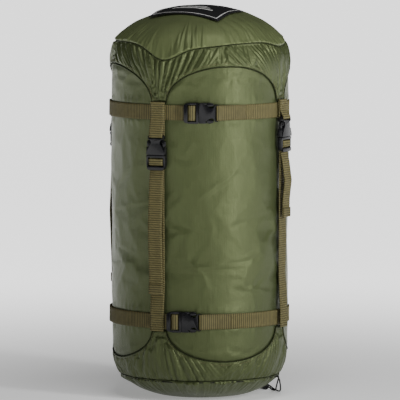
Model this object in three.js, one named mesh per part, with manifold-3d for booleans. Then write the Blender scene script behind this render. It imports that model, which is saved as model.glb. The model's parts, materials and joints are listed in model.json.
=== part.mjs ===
// A 20 litre compression sack for a sleeping bag, stuffed and closed, standing on its drawcord end.
// Millimetres, +Z up, front towards -Y. The origin lies on the sack's axis, in the flat that it stands on.
// Azimuths run from the front (-Y) round the right side (+X) to the back.
import * as THREE from "three";
import { mergeVertices } from "three/addons/utils/BufferGeometryUtils.js";
import Module from "manifold-3d";

const wasm = await Module();
wasm.setup();

// ---- Driving dimensions ----
const GAP = 0.3; // left between touching pieces
const CLOTH = 1.0; // a fabric layer with its seams and slack
const WEB = 1.4; // webbing thickness
const WEB_WIDTH = 20;
const STRAP_AZIMUTHS = [-27, 63, 153, 243];
const STRAP_NAMES = ["front_left", "front_right", "back_right", "back_left"];
const BUCKLE_TOPS = [359.5, 380, 379, 379]; // height of each vertical buckle's upper end
const QUARTER = 90;

// The skin's outer outline, as radius and height, from the standing flat to the crown.
const WALL_RADIUS = 119.6;
const CROWN_SEAM = 479;
const BASE_OUTLINE = [
  [0, 0], [48, 0], [60, 1.3], [72, 4.2], [83, 8.4], [92, 13.5], [100, 20], [106.8, 27],
];
const WALL_OUTLINE = [
  [106.8, 27], [112.5, 38], [116.8, 56], [118.8, 78], [WALL_RADIUS, 104],
  [WALL_RADIUS, 392], [120.3, 432], [119.2, 460], [113.6, CROWN_SEAM],
];
const CROWN_OUTLINE = [
  [113.6, CROWN_SEAM], [104.5, 491.5], [87, 504.5], [61, 515.5], [32, 521.8], [0, 524],
];
const BASE_DISC_EDGE = [104.9, 25.2]; // the base disc stops short of the drawcord's channel

// The scalloped hems: a leg under each strap and an arch between two legs.
const LEG_HALF_ANGLE = 5.2;
const TOP_HEM = { leg: 402, arch: 450 };
const BASE_HEM = { leg: 96, arch: 54.5 };
const SEAM_ALLOWANCE = 12; // how far the tube runs on under the hems
const HEM_CORD_RADIUS = 1.1;

const UPPER_GIRTH = { height: 388, azimuth: 1 };
const LOWER_GIRTH = { height: 110, azimuth: -9.4 };
const GIRTH_TAIL_END = -98; // azimuth from the buckle where the tail stops
const TAIL_ENDS = [147, 245, 147, 147]; // height of each tail's hem; one strap was cut shorter
const TAIL_HEM = 12; // length of webbing folded back at a tail's end
const LOWER_STRAP_END = 97;
const UPPER_STRAP_END = 402;

const TUBE_RADIUS = WALL_RADIUS - CLOTH - GAP; // outer radius of the tube between the hems
const GIRTH_MIDDLE = TUBE_RADIUS + 0.7 + WEB / 2; // middle of the girth webbing
const GIRTH_TAIL_MIDDLE = GIRTH_MIDDLE + WEB + GAP;
const STRAP_SEAT = GIRTH_TAIL_MIDDLE + WEB / 2 + GAP; // where the vertical straps' backs lie
const GIRTH_BUCKLE_SEAT = TUBE_RADIUS + 1.1;
const CROSSING_LIFT = 2.6; // how far a strap's sewn end stands off where it crosses the lower girth strap
const TAIL_STANDOFF = 6.2; // the middle of a strap's tail, above the strap's seat

const LABEL = { length: 104, width: 76, azimuth: -27, forward: 23, aside: 6, thickness: 0.8, lift: 0.65 };

const CORD_RADIUS = 1;
const CHANNEL_RADIUS = 105.6; // the drawcord's ring in its channel
const CHANNEL_HEIGHT = 27;
const LOCK = { azimuth: 116, radius: 95, height: 5.4, outer: 5.2, bore: 4.0, length: 14 };

const radians = THREE.MathUtils.degToRad;

// ---- Solids and meshes ----
function material(colour, roughness) {
  return new THREE.MeshStandardMaterial({ color: colour, roughness, metalness: 0 });
}
const shell = material(0x535a39, 0.55);
const crown = material(0x767c55, 0.55);
const webbing = material(0x6b6242, 0.85);
const trim = material(0x20240f, 0.7);
const black = material(0x1b1b1f, 0.4);
const filling = material(0xb8b4a4, 0.9);
const steel = material(0x9a9a9a, 0.35);

function mesh(name, geometry, finish) {
  const made = new THREE.Mesh(geometry, finish);
  made.name = name;
  return made;
}

function toSolid(geometry) {
  const bare = new THREE.BufferGeometry();
  const flat = geometry.index ? geometry.toNonIndexed() : geometry;
  bare.setAttribute("position", flat.getAttribute("position").clone());
  const merged = mergeVertices(bare, 1e-4);
  return new wasm.Manifold(
    new wasm.Mesh({
      numProp: 3,
      vertProperties: merged.attributes.position.array,
      triVerts: new Uint32Array(merged.index.array),
    }),
  );
}

function toGeometry(solid) {
  const found = solid.getMesh();
  const geometry = new THREE.BufferGeometry();
  geometry.setAttribute("position", new THREE.BufferAttribute(new Float32Array(found.vertProperties), 3));
  geometry.setIndex(new THREE.BufferAttribute(new Uint32Array(found.triVerts), 1));
  return geometry;
}

function join(...geometries) {
  return geometries.map(toSolid).reduce((a, b) => a.add(b));
}

// A plate drawn in the XY plane between two heights.
function plate(points, low, high) {
  const shape = new THREE.Shape(points.map(([x, y]) => new THREE.Vector2(x, y)));
  const extruded = new THREE.ExtrudeGeometry(shape, { depth: high - low, bevelEnabled: false });
  return extruded.translate(0, 0, low);
}

function block(x0, x1, y0, y1, z0, z1) {
  const box = new THREE.BoxGeometry(x1 - x0, y1 - y0, z1 - z0);
  return box.translate((x0 + x1) / 2, (y0 + y1) / 2, (z0 + z1) / 2);
}

// The closed outline of a strip of webbing that follows a line, half its thickness to each side.
function ribbonShape(line) {
  const side = (sign) =>
    line.map((p, i) => {
      const before = line[Math.max(i - 1, 0)];
      const after = line[Math.min(i + 1, line.length - 1)];
      const a = p.clone().sub(before).normalize();
      const b = after.clone().sub(p).normalize();
      const along = a.clone().add(b).normalize();
      const across = new THREE.Vector2(-along.y, along.x);
      const lean = Math.max(0.5, Math.abs(along.dot(i === 0 ? b : a)));
      return p.clone().addScaledVector(across, (sign * WEB) / 2 / lean);
    });
  return new THREE.Shape([...side(1), ...side(-1).reverse()]);
}

// Webbing drawn as a line and given its width across the drawing, centred on it.
function ribbon(line) {
  const strip = new THREE.ExtrudeGeometry(ribbonShape(line), { depth: WEB_WIDTH, bevelEnabled: false });
  return strip.translate(0, 0, -WEB_WIDTH / 2);
}

// A line with its corners rounded off by quadratic curves.
function rounded(points, radius, steps) {
  const corners = points.map(([x, y]) => new THREE.Vector2(x, y));
  const line = [corners[0]];
  for (let i = 1; i < corners.length - 1; i += 1) {
    const corner = corners[i];
    const towards = (other) => corner.clone().lerp(other, Math.min(radius / corner.distanceTo(other), 0.5));
    const bend = new THREE.QuadraticBezierCurve(towards(corners[i - 1]), corner, towards(corners[i + 1]));
    line.push(...bend.getPoints(steps));
  }
  line.push(corners.at(-1));
  return line.filter((p, i) => i === 0 || p.distanceTo(line[i - 1]) > 1e-3);
}

// ---- The stuffed shape ----
const skinCurve = new THREE.CatmullRomCurve3(
  [...BASE_OUTLINE.slice(1, -1), ...WALL_OUTLINE, ...CROWN_OUTLINE.slice(1)].map(
    ([r, z]) => new THREE.Vector3(r, z, 0),
  ),
  false,
  "centripetal",
);
const skinLine = skinCurve.getPoints(400);

// The skin's outer radius at a height between the standing flat and the crown.
function skinRadius(height) {
  const i = skinLine.findIndex((p) => p.y >= height);
  if (i <= 0) return skinLine[0].x;
  const [a, b] = [skinLine[i - 1], skinLine[i]];
  return a.x + ((b.x - a.x) * (height - a.y)) / (b.y - a.y);
}

// The crown's outer height at a radius.
function crownHeight(radius) {
  const i = skinLine.findIndex((p) => p.y > 450 && p.x <= radius);
  const [a, b] = [skinLine[i - 1], skinLine[i]];
  return a.y + ((b.y - a.y) * (radius - a.x)) / (b.x - a.x);
}

function onAzimuth(azimuth, radius, height) {
  const a = radians(azimuth);
  return new THREE.Vector3(radius * Math.sin(a), -radius * Math.cos(a), height);
}

// The height of a scalloped hem: flat across a leg, half an ellipse between two legs.
function hemHeight(azimuth, hem) {
  const local = THREE.MathUtils.euclideanModulo(azimuth - STRAP_AZIMUTHS[0], QUARTER) - QUARTER / 2;
  const across = local / (QUARTER / 2 - LEG_HALF_ANGLE);
  return hem.leg + (hem.arch - hem.leg) * Math.sqrt(Math.max(0, 1 - across * across));
}

// Every round piece has its flats over its neighbours' flats. The load has half as many, on the same azimuths.
const ROUND_STEPS = 40;
const skinAzimuths = Array.from({ length: ROUND_STEPS }, (_, i) => STRAP_AZIMUTHS[0] + (360 * i) / ROUND_STEPS);

// A closed sleeve of cloth: rows from its lower to its upper edge, each a ring of azimuths.
function sleeve(rows, outside, thickness) {
  const count = skinAzimuths.length;
  const positions = [];
  for (const depth of [0, thickness])
    for (let row = 0; row <= rows; row += 1)
      for (const azimuth of skinAzimuths) {
        const { radius, height } = outside(azimuth, row / rows);
        positions.push(...onAzimuth(azimuth, radius - depth, height));
      }
  const index = [];
  const at = (layer, row, i) => (layer * (rows + 1) + row) * count + (i % count);
  const quad = (a, b, c, d) => index.push(a, b, c, a, c, d);
  for (let i = 0; i < count; i += 1) {
    for (let row = 0; row < rows; row += 1) {
      quad(at(0, row, i), at(0, row, i + 1), at(0, row + 1, i + 1), at(0, row + 1, i));
      quad(at(1, row, i), at(1, row + 1, i), at(1, row + 1, i + 1), at(1, row, i + 1));
    }
    quad(at(0, rows, i), at(0, rows, i + 1), at(1, rows, i + 1), at(1, rows, i));
    quad(at(0, 0, i), at(1, 0, i), at(1, 0, i + 1), at(0, 0, i + 1));
  }
  const geometry = new THREE.BufferGeometry();
  geometry.setAttribute("position", new THREE.Float32BufferAttribute(positions, 3));
  geometry.setIndex(index);
  return geometry;
}

// A solid of revolution from a closed or axis-to-axis outline of radius and height.
function turned(outline, steps = ROUND_STEPS) {
  const points = outline.map(([r, z]) => new THREE.Vector2(r, z));
  return new THREE.LatheGeometry(points, steps).rotateX(Math.PI / 2).rotateZ(radians(STRAP_AZIMUTHS[0]));
}

function mainTube() {
  const inset = CLOTH + GAP;
  return sleeve(
    5,
    (azimuth, t) => {
      const low = hemHeight(azimuth, BASE_HEM) - SEAM_ALLOWANCE;
      const high = hemHeight(azimuth, TOP_HEM) + SEAM_ALLOWANCE;
      const bunched = 0.5 - 0.5 * Math.cos(Math.PI * t);
      const height = low + (high - low) * bunched;
      return { radius: skinRadius(height) - inset, height };
    },
    CLOTH,
  );
}

function skirt(hem, seamHeight) {
  return sleeve(
    4,
    (azimuth, t) => {
      const edge = hemHeight(azimuth, hem);
      const height = hem.arch > hem.leg ? edge + (seamHeight - edge) * t : seamHeight + (edge - seamHeight) * t;
      return { radius: skinRadius(height), height };
    },
    CLOTH,
  );
}

// A shallow dish of cloth inside the skin's outline, from the axis to a seam.
function dish(outline) {
  const inner = outline.map(([r, z], i) => {
    const [r0, z0] = outline[Math.max(i - 1, 0)];
    const [r1, z1] = outline[Math.min(i + 1, outline.length - 1)];
    const along = new THREE.Vector2(r1 - r0, z1 - z0).normalize();
    const upwards = outline[0][1] < outline.at(-1)[1];
    const across = upwards ? new THREE.Vector2(-along.y, along.x) : new THREE.Vector2(along.y, -along.x);
    return r === 0 ? [0, z + across.y * CLOTH] : [r + across.x * CLOTH, z + across.y * CLOTH];
  });
  return [...outline, ...inner.reverse()];
}

function packedLoad() {
  const inset = 2 * (CLOTH + GAP) + 1;
  const inward = ([r, z], lift) => [Math.max(0, r - 2), z + lift];
  const heights = [34, 50, 72, 104, 392, 440, 462, 473];
  const under = [0, 1, 3, 5, 6].map((row) => inward(BASE_OUTLINE[row], inset));
  const wall = heights.map((z) => [skinRadius(z) - inset, z]);
  const over = CROWN_OUTLINE.slice(1).map((corner) => inward(corner, -inset));
  return turned([...under, ...wall, ...over], ROUND_STEPS / 2);
}

// The piping along a scalloped hem, on the side of the hem that faces the sack's middle.
function hemPiping(hem) {
  const away = Math.sign(hem.leg - hem.arch) * (HEM_CORD_RADIUS + GAP);
  const hemLine = skinAzimuths.map((azimuth) => new THREE.Vector2(azimuth, hemHeight(azimuth, hem)));
  const perDegree = (Math.PI * WALL_RADIUS) / 180;
  const centre = hemLine.map((p, i) => {
    const before = hemLine[(i + hemLine.length - 1) % hemLine.length];
    const after = hemLine[(i + 1) % hemLine.length];
    const turn = THREE.MathUtils.euclideanModulo(after.x - before.x, 360) * perDegree;
    const along = new THREE.Vector2(turn, after.y - before.y).normalize();
    const azimuth = p.x - (along.y * away) / perDegree;
    const height = p.y + along.x * away;
    return onAzimuth(azimuth, skinRadius(height) - CLOTH / 2 + 0.1 + HEM_CORD_RADIUS / 2, height);
  });
  const curve = new THREE.CatmullRomCurve3(centre, true, "centripetal");
  return new THREE.TubeGeometry(curve, 88, HEM_CORD_RADIUS, 5, true);
}

// A woven patch lying on the crown, in line with the front left strap.
function labelPatch() {
  const turn = radians(LABEL.azimuth);
  const [columns, rows] = [8, 6];
  const positions = [];
  for (const lift of [LABEL.lift, LABEL.lift + LABEL.thickness])
    for (let j = 0; j <= rows; j += 1)
      for (let i = 0; i <= columns; i += 1) {
        const x = LABEL.aside + LABEL.length * (i / columns - 0.5);
        const y = -LABEL.forward + LABEL.width * (j / rows - 0.5);
        const radius = Math.hypot(x, y);
        const spot = new THREE.Vector3(x, y, crownHeight(radius) + lift);
        positions.push(...spot.applyAxisAngle(new THREE.Vector3(0, 0, 1), turn));
      }
  const index = [];
  const at = (layer, j, i) => (layer * (rows + 1) + j) * (columns + 1) + i;
  const quad = (a, b, c, d) => index.push(a, b, c, a, c, d);
  for (let j = 0; j < rows; j += 1)
    for (let i = 0; i < columns; i += 1) {
      quad(at(1, j, i), at(1, j, i + 1), at(1, j + 1, i + 1), at(1, j + 1, i));
      quad(at(0, j, i), at(0, j + 1, i), at(0, j + 1, i + 1), at(0, j, i + 1));
    }
  for (let i = 0; i < columns; i += 1) {
    quad(at(0, 0, i), at(0, 0, i + 1), at(1, 0, i + 1), at(1, 0, i));
    quad(at(1, rows, i), at(1, rows, i + 1), at(0, rows, i + 1), at(0, rows, i));
  }
  for (let j = 0; j < rows; j += 1) {
    quad(at(1, j, 0), at(1, j + 1, 0), at(0, j + 1, 0), at(0, j, 0));
    quad(at(0, j, columns), at(0, j + 1, columns), at(1, j + 1, columns), at(1, j, columns));
  }
  const geometry = new THREE.BufferGeometry();
  geometry.setAttribute("position", new THREE.Float32BufferAttribute(positions, 3));
  geometry.setIndex(index);
  return geometry;
}

// ---- Side-release buckles ----
// Drawn lying flat: X runs from the socket's bar to the ladder lock's end bar, Y across, Z away from the sack.
const BUCKLE = {
  length: 47.7,
  half: 13.9, // half the ladder lock's width
  top: 8.5, // the socket's thickness
  bar: { end: 3.2, low: 2.0, high: 6.4 },
  slot: { end: 5.6, half: 10.4 }, // where the webbing passes the bar
  cheek: { start: 2.6, end: 6.0, half: 11.4, low: 0.6, high: 7.9 }, // the socket's ends beside the slot
  cavity: { low: 2.2, high: 6.3, half: 11.6, start: 6.4 },
  window: 17.2, // the socket's side windows run from the cavity's start to here
  sideWall: { half: 13.6, low: 1.2, high: 7.3 },
  mouth: 27.4,
  shoulder: { low: 0.8, high: 7.6 }, // the ladder lock's end against the socket's mouth
  rail: { low: 0.8, high: 7.0, inside: 11.3 },
  middleBar: { start: 34.8, end: 38.6, half: 12, low: 2.9, high: 6.0 },
  endBar: { start: 42.8, low: 4.6, high: 8.2 },
  hinge: { x: 27.2, y: 8.6 }, // a prong's root
};

function mirrored(points) {
  return [...points, ...points.map(([x, y]) => [x, -y]).reverse()];
}

// A plate whose outline is drawn on its +Y side only.
function evenPlate(points, low, high) {
  return plate(mirrored(points).reverse(), low, high);
}

function socket() {
  const { bar, slot, cheek, cavity, sideWall, mouth, window, top } = BUCKLE;
  const waist = [[6.4, 10.6], [8.2, 7.6], [10.5, 6.5], [13, 6.9], [20, 11.6], [24.5, 13.4], [mouth, 13.4]];
  const barEnds = [[0.8, 9.8], [3.2, 11.2], [6.4, 10.9]];
  const bridge = [[5.4, 10.9], [cavity.start, 10.9]];
  const wall = block(window, mouth, cavity.half, sideWall.half, sideWall.low, sideWall.high);
  const body = join(
    evenPlate(waist, 0, cavity.low),
    evenPlate(waist, cavity.high, top),
    wall,
    wall.clone().rotateX(Math.PI).translate(0, 0, top),
    evenPlate(bridge, 0, top),
    evenPlate(barEnds, bar.low, bar.high),
    block(cheek.start, cheek.end, slot.half, cheek.half, cheek.low, cheek.high),
    block(cheek.start, cheek.end, -cheek.half, -slot.half, cheek.low, cheek.high),
  );
  return toGeometry(body.subtract(toSolid(block(bar.end, slot.end, -slot.half, slot.half, -1, top + 1.5))));
}

function frame() {
  const { shoulder, rail, middleBar, endBar, half, length, cavity, mouth } = BUCKLE;
  const start = mouth + 3;
  const side = [[start, half], [40, half], [length - 2.2, 12.6], [length - 1.6, 11.4], [start, rail.inside]];
  const tongue = [[13.5, 1.6], [15, 2.4], [30, 2.4]];
  const body = join(
    evenPlate([[mouth + 0.5, 12.8], [mouth + 1.4, half], [31.2, half]], shoulder.low, shoulder.high),
    plate(side.slice().reverse(), rail.low, rail.high),
    plate(side.map(([x, y]) => [x, -y]), rail.low, rail.high),
    block(middleBar.start, middleBar.end, -middleBar.half, middleBar.half, middleBar.low, middleBar.high),
    evenPlate([[endBar.start, 12.2], [length - 2, 12.6], [length, 10.4]], endBar.low, endBar.high),
    evenPlate(tongue, cavity.low + GAP + 0.1, cavity.high - GAP - 0.1),
  );
  return toGeometry(body);
}

// One flexing prong, drawn about its root.
function prong(side) {
  const { hinge, cavity } = BUCKLE;
  const outline = [
    [27.4, 7.4], [27.4, 9.8], [20, 10.9], [16.8, 11.2], [16.8, 13.2], [14.5, 13.9],
    [9.6, 13.3], [8.0, 11.8], [7.8, 9.4], [12, 8.7], [17, 8.4], [22, 7.8],
  ];
  const drawn = outline.map(([x, y]) => [x - hinge.x, side * (y - hinge.y)]);
  return plate(side > 0 ? drawn.reverse() : drawn, cavity.low + GAP, cavity.high - GAP);
}

function buckle(name) {
  const group = new THREE.Group();
  group.add(mesh(`${name}_socket`, socket(), black));
  group.add(mesh(`${name}_frame`, frame(), black));
  for (const [label, side] of [["a", 1], ["b", -1]]) {
    const made = mesh(`${name}_prong_${label}`, prong(side), black);
    made.position.set(BUCKLE.hinge.x, side * BUCKLE.hinge.y, 0);
    group.add(made);
  }
  return group;
}

// The webbing's line round the socket's bar, as buckle X and Z, from the outer layer to the inner one.
const barTurn = (() => {
  const { bar } = BUCKLE;
  const clear = GAP + WEB / 2;
  const past = bar.end + clear;
  const corner = 0.8;
  const over = bar.high + clear;
  const under = bar.low - clear;
  const start = 0.4;
  return [
    [start, over], [past - corner, over], [past, over - corner],
    [past, under + corner], [past - corner, under], [start, under],
  ];
})();

// The webbing's line through the ladder lock, from under its middle bar to beyond its end bar.
const UNDER_BARS = 1.7;
const TAIL_UNDER_BAR = 3.5;
const OVER_MIDDLE_BAR = 7.1;
const ladderTurn = [
  [34.3, UNDER_BARS], [33, UNDER_BARS], [33, OVER_MIDDLE_BAR],
  [40.5, OVER_MIDDLE_BAR], [41, TAIL_UNDER_BAR], [48, TAIL_UNDER_BAR],
];

// ---- Vertical straps ----
// A line drawn as radius and height becomes webbing across the front, then a station group turns it.
function standing(line) {
  const turn = new THREE.Matrix4().makeBasis(
    new THREE.Vector3(0, -1, 0), new THREE.Vector3(0, 0, 1), new THREE.Vector3(-1, 0, 0),
  );
  return ribbon(line).applyMatrix4(turn);
}

function verticalStrap(index) {
  const name = `strap_${STRAP_NAMES[index]}`;
  const top = BUCKLE_TOPS[index];
  const place = ([x, z]) => [STRAP_SEAT + z, top - x];
  const station = new THREE.Group();
  station.rotation.z = radians(STRAP_AZIMUTHS[index]);

  const [outer, inner] = [2.4, 0.7];
  const loop = [
    [STRAP_SEAT + outer, UPPER_STRAP_END],
    [STRAP_SEAT + outer, Math.min(UPPER_STRAP_END - 6, top + 22)],
    ...barTurn.map(place),
    [STRAP_SEAT + inner, Math.min(UPPER_STRAP_END - 8, top + 14)],
    [STRAP_SEAT + inner, UPPER_STRAP_END],
  ];
  station.add(mesh(`${name}_upper`, standing(rounded(loop, 2.5, 2)), webbing));

  const crossing = STRAP_SEAT + WEB / 2 + CROSSING_LIFT;
  const lower = [
    place([35, UNDER_BARS]),
    place([52, UNDER_BARS]),
    [STRAP_SEAT + WEB / 2, 165],
    [crossing, LOWER_GIRTH.height + 16],
    [crossing, LOWER_STRAP_END],
  ];
  station.add(mesh(`${name}_lower`, standing(rounded(lower, 8, 3)), webbing));

  const lying = STRAP_SEAT + TAIL_STANDOFF;
  const hem = TAIL_ENDS[index];
  const tail = [
    ...ladderTurn.map(place),
    [lying, top - 62],
    [lying, hem],
    [lying + WEB + GAP, hem],
    [lying + WEB + GAP, hem + TAIL_HEM],
  ];
  station.add(mesh(`${name}_tail`, standing(rounded(tail, 1.1, 3)), webbing));

  const clip = buckle(`buckle_${STRAP_NAMES[index]}`);
  clip.setRotationFromMatrix(
    new THREE.Matrix4().makeBasis(
      new THREE.Vector3(0, 0, -1), new THREE.Vector3(1, 0, 0), new THREE.Vector3(0, -1, 0),
    ),
  );
  clip.position.set(0, -STRAP_SEAT, top);
  station.add(clip);
  return station;
}

// ---- Girth straps ----
// Drawn in plan with the buckle at the front: the socket to the right, the ladder lock to the left.
function girthStrap(name, { height, azimuth }) {
  const station = new THREE.Group();
  station.rotation.z = radians(azimuth);
  station.position.z = height;
  const half = BUCKLE.length / 2;
  const place = ([x, z]) => [half - x, -(GIRTH_BUCKLE_SEAT + z)];
  const arc = (radius, from, to, steps) =>
    Array.from({ length: steps + 1 }, (_, i) => {
      const spot = onAzimuth(from + ((to - from) * i) / steps, radius, 0);
      return [spot.x, spot.y];
    });
  const points = (corners) => corners.map(([x, y]) => new THREE.Vector2(x, y));
  const intoSocket = [...arc(GIRTH_TAIL_MIDDLE, 29, 19, 2), ...barTurn.map(place), ...arc(GIRTH_MIDDLE, 18, 20, 1)];
  const intoLadder = [
    ...arc(GIRTH_MIDDLE, 342, 344.5, 1),
    place([48.5, UNDER_BARS]),
    ...ladderTurn.map(place),
    ...arc(GIRTH_TAIL_MIDDLE, 344.5, 340, 1),
  ];
  const line = [
    ...rounded(intoSocket, 2, 2),
    ...points(arc(GIRTH_MIDDLE, 26, 338, 44)),
    ...rounded(intoLadder, 1.1, 3),
    ...points(arc(GIRTH_TAIL_MIDDLE, 332, 360 + GIRTH_TAIL_END, 9)),
  ];
  station.add(mesh(`${name}_strap`, ribbon(line), webbing));

  const clip = buckle(`${name}_buckle`);
  clip.setRotationFromMatrix(
    new THREE.Matrix4().makeBasis(
      new THREE.Vector3(-1, 0, 0), new THREE.Vector3(0, 0, -1), new THREE.Vector3(0, -1, 0),
    ),
  );
  clip.position.set(half, -GIRTH_BUCKLE_SEAT, 0);
  station.add(clip);
  return station;
}

// ---- Drawcord and cord lock ----
// The free part of the drawcord, as azimuth, radius and height: out of its channel on the right, down to the
// floor, through the lock, round its end loop, back through the lock and up into the channel again.
const CORD_ROUTE = [
  [71, 107.6, 27.4], [71.2, 109.6, 26.9], [72.4, 111.4, 23.6], [75.4, 111.2, 17.4], [80.5, 110, 10.4],
  [87, 108.6, 4.9], [94, 107.4, 1.8], [101, 106, 1.3], [108, 104.6, 2.4], [114.4, 102.6, 5.7],
  [116, 100.4, 6.55], [116, 95, 6.55], [116, 89.6, 6.5], [116.8, 86.4, 4.8], [119.2, 82.6, 2.2],
  [120.6, 78.2, 1.3], [118.2, 73.9, 1.25], [113.2, 73.9, 1.25], [110.9, 78.6, 1.3], [112.6, 83.6, 2.2],
  [115, 87.6, 3.9], [116, 90.4, 4.25], [116, 95, 4.25], [116, 100.2, 4.2], [115, 102.8, 3],
  [109, 102.4, 1.5], [101.5, 102.6, 1.6], [93, 102.4, 4.4], [85.6, 103.6, 10.6], [80.2, 106.2, 18.4],
  [77.4, 108.4, 24.6], [77, 107.6, 27.2],
];

function drawcordRing() {
  const ring = new THREE.TorusGeometry(CHANNEL_RADIUS, CORD_RADIUS, 6, ROUND_STEPS);
  return ring.translate(0, 0, CHANNEL_HEIGHT);
}

function cordSection() {
  const sides = 8;
  return new THREE.Shape(
    Array.from({ length: sides }, (_, i) => {
      const a = (2 * Math.PI * i) / sides;
      return new THREE.Vector2(CORD_RADIUS * Math.cos(a), CORD_RADIUS * Math.sin(a));
    }),
  );
}

function freeCord() {
  const points = CORD_ROUTE.map(([azimuth, radius, height]) => onAzimuth(azimuth, radius, height));
  const curve = new THREE.CatmullRomCurve3(points, false, "centripetal");
  return new THREE.ExtrudeGeometry(cordSection(), { steps: 56, bevelEnabled: false, extrudePath: curve });
}

// The lock's parts are drawn along X, with the cord passing along Y.
const STROKE = 3.5;
const CORD_SLOT = { width: 2.7, height: 5.0 };
const PLUNGER = { radius: 3.7, start: -2.2, end: 10.6, head: 4.5, headStart: 7.8 };

function bar(radius, from, to) {
  const rod = new THREE.CylinderGeometry(radius, radius, to - from, 20);
  return rod.rotateZ(Math.PI / 2).translate((from + to) / 2, 0, 0);
}

// The slot that the cord passes through, made longer by the plunger's stroke where the plunger moves past it.
function cordSlot(longer) {
  const [half, high] = [CORD_SLOT.width / 2, CORD_SLOT.height / 2];
  return toSolid(block(-half, half + longer, -8, 8, -high, high));
}

function lockBarrel() {
  const { outer, bore, length } = LOCK;
  const body = toSolid(bar(outer, -length / 2 - 1.6, length / 2 - 3));
  const hollow = toSolid(bar(bore, -length / 2, length / 2));
  return toGeometry(body.subtract(hollow).subtract(cordSlot(0)));
}

function lockPlunger() {
  const { radius, start, end, head, headStart } = PLUNGER;
  const body = join(bar(radius, start, end - 2), bar(head, headStart, end + 1));
  return toGeometry(body.subtract(cordSlot(STROKE)));
}

function lockSpring() {
  const [radius, wire, turns] = [2.7, 0.3, 4];
  const [from, to] = [-LOCK.length / 2 + 0.5, PLUNGER.start - 0.5];
  class Helix extends THREE.Curve {
    getPoint(t, target = new THREE.Vector3()) {
      const a = 2 * Math.PI * turns * t;
      return target.set(from + (to - from) * t, radius * Math.cos(a), radius * Math.sin(a));
    }
  }
  const section = new THREE.Shape(
    Array.from({ length: 5 }, (_, i) => {
      const a = (2 * Math.PI * i) / 5;
      return new THREE.Vector2(wire * Math.cos(a), wire * Math.sin(a));
    }),
  );
  return new THREE.ExtrudeGeometry(section, { steps: 44, bevelEnabled: false, extrudePath: new Helix() });
}

function cordLock() {
  const station = new THREE.Group();
  station.rotation.z = radians(LOCK.azimuth);
  const lock = new THREE.Group();
  lock.position.set(0, -LOCK.radius, LOCK.height);
  lock.add(mesh("cord_lock_barrel", lockBarrel(), black));
  lock.add(mesh("cord_lock_plunger", lockPlunger(), black));
  lock.add(mesh("cord_lock_spring", lockSpring(), steel));
  station.add(lock);
  return station;
}

// ---- The sack ----
const baseDiscOutline = [...BASE_OUTLINE.slice(0, -1), BASE_DISC_EDGE];
const sack = new THREE.Group();
sack.add(mesh("packed_load", packedLoad(), filling));
sack.add(mesh("main_tube", mainTube(), shell));
sack.add(mesh("base_disc", turned(dish(baseDiscOutline)), shell));
sack.add(mesh("base_skirt", skirt(BASE_HEM, CHANNEL_HEIGHT + CORD_RADIUS + 0.6), shell));
sack.add(mesh("base_hem_piping", hemPiping(BASE_HEM), trim));
sack.add(mesh("crown_disc", turned(dish([...CROWN_OUTLINE].reverse()).reverse()), crown));
sack.add(mesh("crown_skirt", skirt(TOP_HEM, CROWN_SEAM - 2 * GAP), shell));
sack.add(mesh("crown_hem_piping", hemPiping(TOP_HEM), trim));
sack.add(mesh("label_patch", labelPatch(), black));
STRAP_NAMES.forEach((_, index) => sack.add(verticalStrap(index)));
sack.add(girthStrap("upper_girth", UPPER_GIRTH));
sack.add(girthStrap("lower_girth", LOWER_GIRTH));
sack.add(mesh("drawcord_ring", drawcordRing(), trim));
sack.add(mesh("drawcord_loop", freeCord(), trim));
sack.add(cordLock());

export default sack;
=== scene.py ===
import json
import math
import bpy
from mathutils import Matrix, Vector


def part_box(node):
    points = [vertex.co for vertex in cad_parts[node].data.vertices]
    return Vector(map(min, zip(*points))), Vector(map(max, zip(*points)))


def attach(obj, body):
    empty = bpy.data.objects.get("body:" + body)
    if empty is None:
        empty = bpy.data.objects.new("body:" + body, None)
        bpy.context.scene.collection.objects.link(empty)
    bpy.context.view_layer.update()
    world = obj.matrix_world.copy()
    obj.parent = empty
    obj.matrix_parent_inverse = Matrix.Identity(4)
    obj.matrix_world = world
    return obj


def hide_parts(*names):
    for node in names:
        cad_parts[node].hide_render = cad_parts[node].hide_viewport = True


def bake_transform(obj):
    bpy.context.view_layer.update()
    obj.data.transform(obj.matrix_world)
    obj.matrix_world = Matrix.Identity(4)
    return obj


bl_info = {
    "name": "Compression Sack",
    "version": (1, 0, 0),
    "blender": (4, 5, 0),
    "location": "3D View > Sidebar > Sack",
    "description": "Sews a stuffed compression sack round its packed frame",
    "category": "Object",
}

from bisect import bisect_right
from contextlib import contextmanager

import bpy
from mathutils import Matrix, Vector, noise

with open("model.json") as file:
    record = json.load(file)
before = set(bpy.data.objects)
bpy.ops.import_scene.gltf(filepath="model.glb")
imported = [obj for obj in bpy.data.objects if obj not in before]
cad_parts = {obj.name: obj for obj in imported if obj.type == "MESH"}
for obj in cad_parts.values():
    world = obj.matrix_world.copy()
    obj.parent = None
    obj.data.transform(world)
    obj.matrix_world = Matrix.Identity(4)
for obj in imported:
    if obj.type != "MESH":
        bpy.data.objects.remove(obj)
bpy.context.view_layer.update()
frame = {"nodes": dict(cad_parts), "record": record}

MM = 0.001
SAME_PLACE = 1e-6  # points closer than this are welded
STRAPS = {"front_left": -27, "front_right": 63, "back_right": 153, "back_left": 243}
QUARTER = 90
LEG_HALF_ANGLE = 5.2  # half of a skirt's leg, seen from the axis
GAP = 0.3 * MM

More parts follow.
